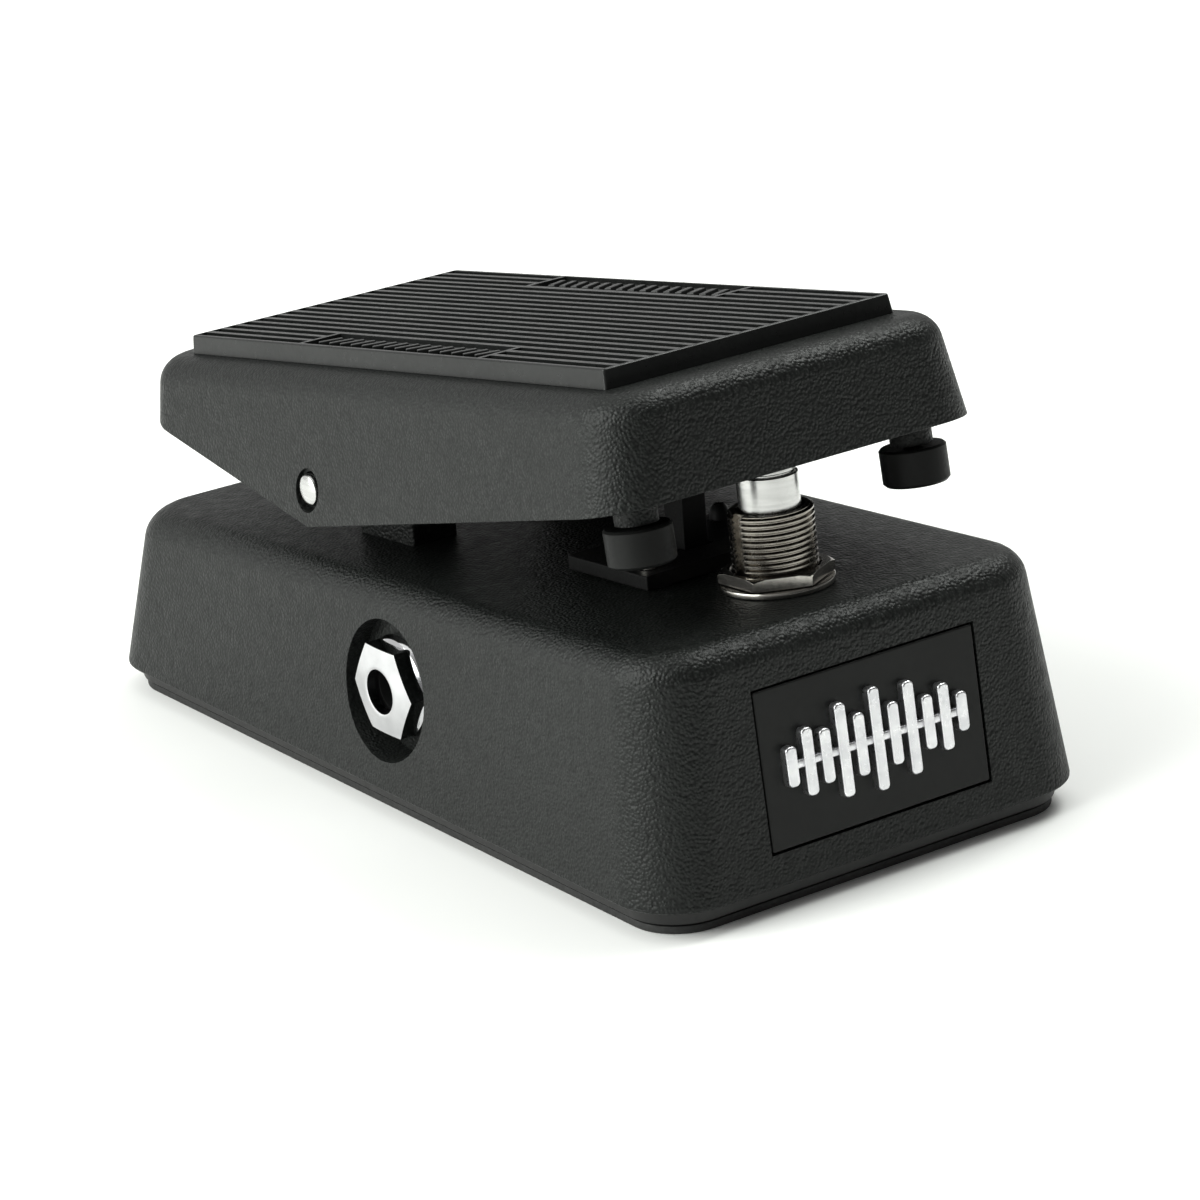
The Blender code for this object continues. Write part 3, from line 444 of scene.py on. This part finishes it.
solder_mask = surface("solder mask", ((0.008, 0.055, 0.022), (0.012, 0.080, 0.034)), (0.25, 0.4),
                      patch=0.004, grain=0.0006, relief=0.00001)
ferrite_cup = surface("ferrite cup", ((0.26, 0.030, 0.022), (0.36, 0.045, 0.032)), (0.35, 0.5),
                      patch=0.006, grain=0.0004, relief=0.00002)
can_sleeve = surface("can sleeve", ((0.016, 0.020, 0.060), (0.024, 0.030, 0.080)), (0.28, 0.4),
                     patch=0.004, grain=0.0008, relief=0.00001)
red_film = surface("red film", ((0.26, 0.020, 0.016), (0.34, 0.030, 0.022)), (0.22, 0.34),
                   patch=0.004, grain=0.0007, relief=0.00002)
clay = surface("resistor clay", ((0.42, 0.30, 0.17), (0.52, 0.38, 0.22)), (0.4, 0.55),
               patch=0.002, grain=0.0003, relief=0.00001)

made("glass_fibre_board", eased("circuit_board", 0.12), solder_mask, "base", ["circuit_board"])
for number, at in enumerate(board_posts, 1):
    screw = cross_screw(head=2.2, shank=1.0, seat=11.7, thickness=1.4, length=8.0, at=at)
    made(f"post_screw_{number}", screw, zinc_plate, "base", [f"board_screw_{number}"])
board_top = 13.9
cup = spun([(0, 0), (7.2, 0), (7.5, 0.4), (7.5, 4.5), (7.1, 4.8), (7.1, 5.2), (7.5, 5.5), (7.5, 9.5),
            (7.1, 9.95), (2.4, 10.0), (2.2, 9.3), (0, 9.3)], 56, centre=(-8, 38, board_top))
made("inductor_cup", cup, ferrite_cup, "base", ["inductor"])
for number, y in enumerate((31.0, 39.0), 1):
    can = spun([(0, 0), (2.4, 0), (2.6, 0.2), (2.6, 1.0), (2.35, 1.3), (2.6, 1.6), (2.6, 7.6), (2.3, 8.0),
                (1.9, 7.85), (0, 7.85)], 40, centre=(6.0, y, board_top))
    made(f"smoothing_can_{number}", can, can_sleeve, "base", [f"electrolytic_capacitor_{number}"])
    made(f"film_block_{number}", eased(f"film_capacitor_{number}", 0.5, 4), red_film, "base",
         [f"film_capacitor_{number}"])
for number, (x, y) in enumerate(((-17.0, 27.5), (-17.0, 31.5), (11.5, 27.0), (11.5, 33.0), (11.5, 43.5)), 1):
    middle = board_top + 1.2
    body = spun([(0, -2.9), (0.6, -2.9), (0.95, -2.5), (0.95, -1.7), (0.78, -1.4), (0.78, 1.4), (0.95, 1.7),
                 (0.95, 2.5), (0.6, 2.9), (0, 2.9)], 20, "X", (x, y, middle))
    made(f"resistor_{number}", body, clay, "base")
    legs = drum(0.28, -4.0, 4.0, 12, "X", (x, y, middle))
    feet = [drum(0.28, board_top - 0.2, middle, 12, centre=(x + end, y, 0)) for end in (-3.95, 3.95)]
    made(f"resistor_{number}_legs", combined(legs, feet, "UNION"), nickel, "base")
for number, y in enumerate((14.0, 20.0), 1):
    half = drum(2.2, 16.0, 20.4, 32, centre=(12.0, y, 0))
    half = combined(half, [block((12.9, 0, 10), (20, 60, 30))])
    bevelled(half, creases(half, 50), 0.15, 2)
    made(f"transistor_{number}", half, moulding_black, "base")
    for leg, step in enumerate((-1.3, 0.0, 1.3), 1):
        wire = drum(0.25, board_top - 0.2, 16.2, 12, centre=(12.0, y + step, 0))
        made(f"transistor_{number}_leg_{leg}", wire, nickel, "base")
made("voice_switch_frame", eased("voice_switch_body", 0.15), nickel, "base", ["voice_switch_body"])
made("voice_switch_knob", eased("voice_switch_slider", 0.2), moulding_black, "voice_slider",
     ["voice_switch_slider"])


# ---------------------------------------------------------------- rack, pinion and potentiometer
# A toothed nylon bar slides in a guide on the base top and turns a pinion on the potentiometer shaft.
# A folded zinc-plated bracket holds the potentiometer under the roof, and one guide screw is blackened.

black_nylon = surface("black nylon", ((0.004, 0.004, 0.004), (0.007, 0.007, 0.007)), (0.45, 0.6),
                      patch=0.006, grain=0.0004, relief=0.00001, specular=0.25)

made("toothed_bar", eased("rack_bar", 0.12), black_nylon, "rack", ["rack_bar"])
made("pinion", eased("pinion_gear", 0.08), black_nylon, "pinion", ["pinion_gear"])
made("pot_spindle", eased("pot_shaft", 0.1), nickel, "pinion", ["pot_shaft"])
made("pot_can", eased("pot_body", 0.2), nickel, "base", ["pot_body"])
made("pot_hex_nut", eased("pot_nut", 0.12), nickel, "base", ["pot_nut"])
made("pot_angle_bracket", eased("pot_bracket", 0.15), zinc_plate, "base", ["pot_bracket"])
for number, at in enumerate(bracket_posts, 1):
    screw = cross_screw(head=2.2, shank=1.0, seat=25.2, thickness=1.3, length=6.0, at=at)
    made(f"bracket_screw_{number}", screw, zinc_plate, "base", [f"pot_bracket_screw_{number}"])
made("bar_guide", eased("rack_guide", 0.25, 3), black_nylon, "base", ["rack_guide"])
blackened = surface("blackened steel", ((0.008, 0.008, 0.009), (0.014, 0.014, 0.015)), (0.42, 0.55),
                    patch=0.004, grain=0.0006, relief=0.000002, specular=0.3)
for number, (at, plating) in enumerate(zip(guide_screws, (nickel, blackened)), 1):
    screw = cross_screw(head=1.5, shank=0.8, seat=0.0, thickness=2.1, length=4.9, at=(0, 0))
    screw.transform(Matrix.Translation((*at, 2.5)) @ Matrix.Rotation(math.pi, 4, "X"))
    made(f"guide_screw_{number}", screw, plating, "base", [f"rack_guide_screw_{number}"], guide_place)


# ---------------------------------------------------------------- footswitch
# A latching switch stands square to the sloped top. Its dark nickel bushing is threaded 32 to the inch with a
# keyway on one side, and a washer and hex nut clamp it. The bright plunger has a groove under its cap.

dark_nickel = surface("dark nickel", ((0.20, 0.185, 0.165), (0.34, 0.32, 0.29)), (0.16, 0.28),
                      patch=0.0025, grain=0.0008, relief=0.000003, metal=1.0)
bright_steel = surface("bright steel", ((0.52, 0.52, 0.51), (0.62, 0.62, 0.61)), (0.18, 0.30),
                       patch=0.006, grain=0.0002, relief=0.000003, metal=1.0, stretch=(1, 1, 14))
switch_case = surface("switch case", ((0.008, 0.050, 0.180), (0.014, 0.075, 0.250)), (0.35, 0.5),
                      patch=0.006, grain=0.0003, relief=0.00001)

pitch, crest, root, low, high, steps = 25.4 / 32, 5.95, 5.5, -4.0, 11.6, 96
foot, top, plunger_bore = -2.9, 11.0, 4.62
thread = bmesh.new()
turns = int((high - low) / pitch) + 1
line = []
for turn in range(turns):
    for radius, step in ((root, 0.0), (root, 0.14), (crest, 0.42), (crest, 0.72)):
        line.append(thread.verts.new((radius, 0, low + (turn + step) * pitch)))
line.append(thread.verts.new((root, 0, low + turns * pitch)))
edges = [thread.edges.new(pair) for pair in zip(line, line[1:])]
bmesh.ops.spin(thread, geom=line + edges, cent=(0, 0, 0), axis=(0, 0, 1), dvec=(0, 0, pitch / steps),
               angle=2 * math.pi, steps=steps)
bmesh.ops.remove_doubles(thread, verts=thread.verts, dist=0.01)
for height, direction in ((foot, -1), (top, 1)):
    cut = bmesh.ops.bisect_plane(thread, geom=thread.verts[:] + thread.edges[:] + thread.faces[:],
                                 plane_co=(0, 0, height), plane_no=(0, 0, direction), clear_outer=True)
    ring = [item for item in cut["geom_cut"] if isinstance(item, bmesh.types.BMEdge)]
    bmesh.ops.holes_fill(thread, edges=ring)
bmesh.ops.recalc_face_normals(thread, faces=thread.faces)
envelope = spun([(0, -5), (7.0, -5), (7.0, 10.2), (5.15, 11.2), (0, 11.2)], steps)
bore = spun([(0, -5), (plunger_bore, -5), (plunger_bore, 10.75), (4.9, 11.4), (0, 11.4)], steps)
keyway = block((-8, -0.95, 1.2), (-5.1, 0.95, 12))
thread = combined(combined(thread, [envelope], "INTERSECT"), [bore, keyway])
made("threaded_bushing", thread, dark_nickel, "base", ["footswitch_bushing"], switch_place)

washer = spun([(6.05, 0.05), (8.05, 0.05), (8.05, 0.95), (6.05, 0.95)], 96, soft=0.22)
made("flat_washer", washer, nickel, "base", ["footswitch_washer"], switch_place)
nut = drum(7.0 / math.cos(math.pi / 6), 1.1, 2.75, 6)
crown = spun([(0, 1), (7.7, 1), (8.3, 1.3), (8.3, 2.25), (7.25, 2.8), (0, 2.8)], 96)
bore = spun([(0, 0), (6.1, 0), (6.1, 2.4), (6.45, 3), (0, 3)], 64)
nut = combined(combined(nut, [crown], "INTERSECT"), [bore])
bevelled(nut, creases(nut, 30), 0.12, 2)
made("hex_nut", nut, nickel, "base", ["footswitch_nut"], switch_place)
plunger = spun([(0, -2.4), (4.27, -2.4), (4.27, 15.7), (4.12, 15.85), (3.75, 15.85), (3.75, 16.15),
                (3.95, 16.15), (4.1, 16.3), (4.1, 17.5), (3.95, 17.8), (3.4, 18.05), (2.0, 18.25),
                (0, 18.3)], 96)
made("plunger", plunger, bright_steel, "plunger", ["footswitch_plunger"], switch_place)
made("switch_block", eased("footswitch_body", 0.2), switch_case, "base", ["footswitch_body"])


# ---------------------------------------------------------------- treadle
# The treadle is a cast pan in the same black coat, with drafted skirts that are deepest below the axle.
# Its shape is set in a level frame with the axle at the origin, and the rest tilt lifts its toe end.

treadle_place = Matrix.Translation(pivot) @ Matrix.Rotation(-math.radians(8.75), 4, "X")
toe, heel, deck, deck_width, draft, end_draft = -77.6, 49.4, 16.5, 58.0, 0.189, 0.03
pan_wall, pan_roof, axle_y = 2.8, 3.0, 0.0


def pan_shape(low, high, inset, corner, steps):
    """The treadle's drafted outline between two heights, or the same inside its wall."""
    sizes = []
    for level in (low, high):
        depth = deck - level
        sizes.append((deck_width + 2 * depth * draft - 2 * inset,
                      heel - toe + 2 * depth * end_draft - 2 * inset))
    return tapered(*sizes, low, lambda y: high, corner, steps, (heel + toe) / 2)


pan = pan_shape(-9.0, deck, 0.0, 8.3, 14)
bevelled(pan, rim(pan, 1), 3.6, 8)
bosses = [drum(5.6, 22.0, 45, 40, axis) for axis in ("X", "-X")]
pan = combined(pan, [combined(pan_shape(-12.0, deck - pan_roof, pan_wall, 5.5, 8), bosses)])

heel_skirt, axle_skirt, toe_skirt, far_below = (54.0, 9.3), (axle_y, -5.2), (-84.0, 2.1), -20.0
outline = [heel_skirt, axle_skirt, toe_skirt, (toe_skirt[0], far_below), (heel_skirt[0], far_below)]
below = bmesh.new()
face = below.faces.new([below.verts.new((-50, y, z)) for y, z in outline])
push = bmesh.ops.extrude_face_region(below, geom=[face])
moved = [item for item in push["geom"] if isinstance(item, bmesh.types.BMVert)]
bmesh.ops.translate(below, verts=moved, vec=(100, 0, 0))
bmesh.ops.recalc_face_normals(below, faces=below.faces)
pan = combined(pan, [below])


def on_skirt_edge(vert):
    """Whether a point lies on one of the two planes that end the skirts."""
    end = heel_skirt if vert.co.y > axle_y else toe_skirt
    slope = (end[1] - axle_skirt[1]) / (end[0] - axle_y)
    return abs(vert.co.z - axle_skirt[1] - slope * (vert.co.y - axle_y)) < 0.01


edge_of_skirt = [edge for edge in creases(pan, 40) if all(map(on_skirt_edge, edge.verts))]
bevelled(pan, edge_of_skirt, 0.45, 3)
stop_spots = {"left": (-23.3, -70.3, 0), "right": (23.3, -70.3, 0)}
lift_screws = [(-7.0, -48.5), (7.0, -48.5)]
pan = combined(pan, [drum(3.0, -1.5, 15.0, 32, centre=at) for at in stop_spots.values()], "UNION")
cuts = [drum(2.65, -50, 50, 32, "X")] + [drum(3.15, 31.0, 50, 40, axis) for axis in ("X", "-X")]
cuts += [drum(1.65, -10, 5.5, 16, centre=at) for at in stop_spots.values()]
cuts += [drum(1.1, 5, 15.6, 16, centre=(x, y, 0)) for x, y in lift_screws]
made("treadle_casting", combined(pan, cuts), powder_coat, "treadle", ["treadle"],
     treadle_place)


# ---------------------------------------------------------------- treadle mat
# The foot rests on a moulded rubber mat glued to the deck: twenty lengthwise ribs between two end lips, with a
# sunk panel of plain slanted studs near each long side.

mat_rubber = surface("mat rubber", ((0.007, 0.0076, 0.0072), (0.011, 0.0119, 0.0114)), (0.27, 0.38),
                     patch=0.01, grain=0.0007, relief=0.000006, specular=0.42)

mat_low, mat_high, groove, half_mat, mat_toe, mat_heel = 16.55, 19.3, 1.6, 24.3, -69.4, 41.5
rib_count, rib_share, end_lip, panel_ribs = 20, 0.38, 0.8, 3
pitch = 2 * half_mat / (rib_count - 0.55)
panel_low, panel_high, panel_wall = -38.0, 10.0, 0.5
mat_length = mat_heel - mat_toe
mat = tapered((2 * half_mat, mat_length), (2 * half_mat - 0.6, mat_length - 0.5), mat_low, lambda y: mat_high,
              0.5, 3, (mat_toe + mat_heel) / 2)
bevelled(mat, rim(mat, 1), 0.25, 3)


def trough(near, far, start, stop, depth):
    """Cutter for one flat-bottomed furrow with rounded foot corners."""
    cut = block((near, start, mat_high - depth), (far, stop, mat_high + 1))
    return bevelled(cut, [edge for edge in creases(cut) if max(v.co.z for v in edge.verts) < mat_high], 0.28, 3)


furrows = []
for rib in range(rib_count - 1):
    near = -half_mat + (rib + rib_share) * pitch
    far = -half_mat + (rib + 1) * pitch
    runs = [(mat_toe + end_lip, mat_heel - end_lip)]
    if not panel_ribs <= rib < rib_count - 1 - panel_ribs:
        runs = [(mat_toe + end_lip, panel_low - panel_wall), (panel_high + panel_wall, mat_heel - end_lip)]
    furrows += [trough(near, far, start, stop, groove) for start, stop in runs]
for side in (-1, 1):
    near, far = sorted((side * (half_mat - rib_share * pitch), side * (half_mat - panel_ribs * pitch)))
    furrows.append(trough(near, far, panel_low + panel_wall, panel_high - panel_wall, 0.9))
mat = combined(mat, furrows)
bevelled(mat, [edge for edge in creases(mat, 50) if min(v.co.z for v in edge.verts) > mat_high - 0.01], 0.12, 2)
studs = []
for side in (-1, 1):
    for row in range(15):
        at = Matrix.Translation((side * (half_mat - 1.7 * pitch), panel_low + 3.0 + row * 3.0, mat_high - 0.55))
        stud = bmesh.new()
        bmesh.ops.create_cube(stud, size=1.0, matrix=at @ Matrix.Rotation(math.radians(side * 24), 4, "Z")
                              @ Matrix.Diagonal((3.6, 1.1, 0.9, 1)))
        studs.append(bevelled(stud, rim(stud, 1), 0.2, 2))
made("ribbed_mat", combined(mat, studs, "UNION"), mat_rubber, "treadle", ["treadle_mat"],
     treadle_place)


# ---------------------------------------------------------------- bumpers and strike pad
# Two rubber bumpers on cast stems stop the toe end, and a rubber pad under the deck presses the footswitch.

stop_rubber = surface("stop rubber", ((0.005, 0.0054, 0.005), (0.009, 0.0094, 0.009)), (0.42, 0.55),
                      patch=0.008, grain=0.0005, relief=0.00001, specular=0.22)

for name, at in stop_spots.items():
    stop = spun([(0, -6.6), (1.6, -6.6), (1.9, -7.05), (4.3, -7.05), (4.7, -6.65), (4.7, -2.1), (4.4, -1.8),
                 (1.3, -1.8), (1.3, 5.0), (0, 5.0)], 64, centre=at)
    made(f"toe_stop_{name}", stop, stop_rubber, "treadle", [f"bumper_{name}"], treadle_place)
pad = spun([(0, 11.5), (2.0, 11.5), (2.3, 11.3), (5.6, 11.3), (6.0, 11.7), (6.0, 13.3), (0, 13.3)], 48,
           centre=(0, -67.3, 0))
made("switch_pad", pad, stop_rubber, "treadle", ["strike_pad"], treadle_place)


# ---------------------------------------------------------------- axle and rack bracket
# A steel axle runs through the skirts and the two posts, in nylon bushes with spring-steel friction washers.
# A folded bracket under the deck carries the pin that lifts the toothed bar.

reach = 32.3
axle = spun([(0, -reach), (1.6, -reach), (2.15, 0.3 - reach), (2.4, 0.9 - reach), (2.4, reach - 0.9),
             (2.15, reach - 0.3), (1.6, reach), (0, reach)], 48, "X")
made("axle", axle, bright_steel, "treadle", ["pivot_axle"], treadle_place)
for side in ("left", "right"):
    made(f"bush_{side}", eased(f"pivot_bush_{side}", 0.12), black_nylon, "base", [f"pivot_bush_{side}"])
    made(f"spring_washer_{side}", eased(f"friction_washer_{side}", 0.08), bright_steel, "treadle",
         [f"friction_washer_{side}"])
made("lift_bracket", eased("rack_bracket", 0.12), blackened, "treadle", ["rack_bracket"])
made("lift_pin", eased("rack_pin", 0.15), blackened, "treadle", ["rack_pin"])
for number, at in enumerate(lift_screws, 1):
    screw = cross_screw(head=1.9, shank=0.8, seat=11.7, thickness=1.3, length=3.6, at=at)
    made(f"lift_bracket_screw_{number}", screw, blackened, "treadle", [f"rack_bracket_screw_{number}"],
         treadle_place)


# ---------------------------------------------------------------- studio
# A pale floor, one broad soft light from the left, a fainter one overhead, a smaller one from the right that
# picks out the rolled edges, and a surround that is palest behind the pedal.

floor = bmesh.new()
bmesh.ops.create_grid(floor, x_segments=1, y_segments=1, size=6.0)
ground = bpy.data.meshes.new("floor")
floor.to_mesh(ground)
floor.free()
paper = surface("paper", ((0.90, 0.90, 0.89), (0.92, 0.92, 0.91)), (0.7, 0.8),
                patch=0.5, grain=0.02, relief=0.0)
ground.materials.append(paper)
ground = bpy.data.objects.new("floor", ground)
bpy.context.scene.collection.objects.link(ground)

for name, power_w, size, at, aim in (
        ("key", 36.0, 1.5, (-1.3, 0.3, 0.80), (0, 0, 0.03)),
        ("overhead", 9.0, 2.2, (0.1, 0.35, 1.9), (0, 0, 0)),
        ("edge", 7.0, 0.5, (0.60, 0.02, 0.93), (0, 0, 0.05))):
    lamp = bpy.data.lights.new(name, "AREA")
    lamp.energy, lamp.size = power_w, size
    lamp.color = (0.97, 1.0, 0.97)
    light = bpy.data.objects.new(name, lamp)
    light.location = at
    light.rotation_euler = (Vector(at) - Vector(aim)).to_track_quat("Z", "Y").to_euler()
    bpy.context.scene.collection.objects.link(light)

world = bpy.data.worlds.new("surround")
bpy.context.scene.world = world
world.use_nodes = True
world.node_tree.nodes["Background"].inputs["Color"].default_value = (1.0, 1.0, 0.99, 1.0)
sky, join = world.node_tree.nodes, world.node_tree.links.new
heading = sky.new("ShaderNodeTexCoord")
facing = sky.new("ShaderNodeVectorMath")
facing.operation = "DOT_PRODUCT"
facing.inputs[1].default_value = (-0.35, 0.937, 0.0)
glow = sky.new("ShaderNodeMapRange")
glow.inputs["From Min"].default_value, glow.inputs["From Max"].default_value = -1.0, 1.0
glow.inputs["To Min"].default_value, glow.inputs["To Max"].default_value = 0.06, 0.84
join(heading.outputs["Generated"], facing.inputs[0])
join(facing.outputs["Value"], glow.inputs["Value"])
join(glow.outputs["Result"], sky["Background"].inputs["Strength"])
bpy.context.scene.view_settings.view_transform = "Standard"
bpy.context.scene.view_settings.gamma = 0.9

azimuth, elevation, roll = math.radians(-34), math.radians(19.27), math.radians(-4.10)
back = Vector((math.sin(azimuth) * math.cos(elevation), -math.cos(azimuth) * math.cos(elevation),
               math.sin(elevation)))
level = Vector((math.cos(azimuth), math.sin(azimuth), 0))
upright = back.cross(level)
right = math.cos(roll) * level + math.sin(roll) * upright
above = math.cos(roll) * upright - math.sin(roll) * level
camera = bpy.data.objects.new("camera", bpy.data.cameras.new("camera"))
camera.data.lens, camera.data.sensor_width = 140.4, 36.0
camera.data.clip_start, camera.data.clip_end = 0.01, 50
place = Matrix((right, above, back)).transposed().to_4x4()
place.translation = 0.00483 * level + 0.01992 * upright + 0.68845 * back
camera.matrix_world = place
bpy.context.scene.collection.objects.link(camera)
bpy.context.scene.camera = camera
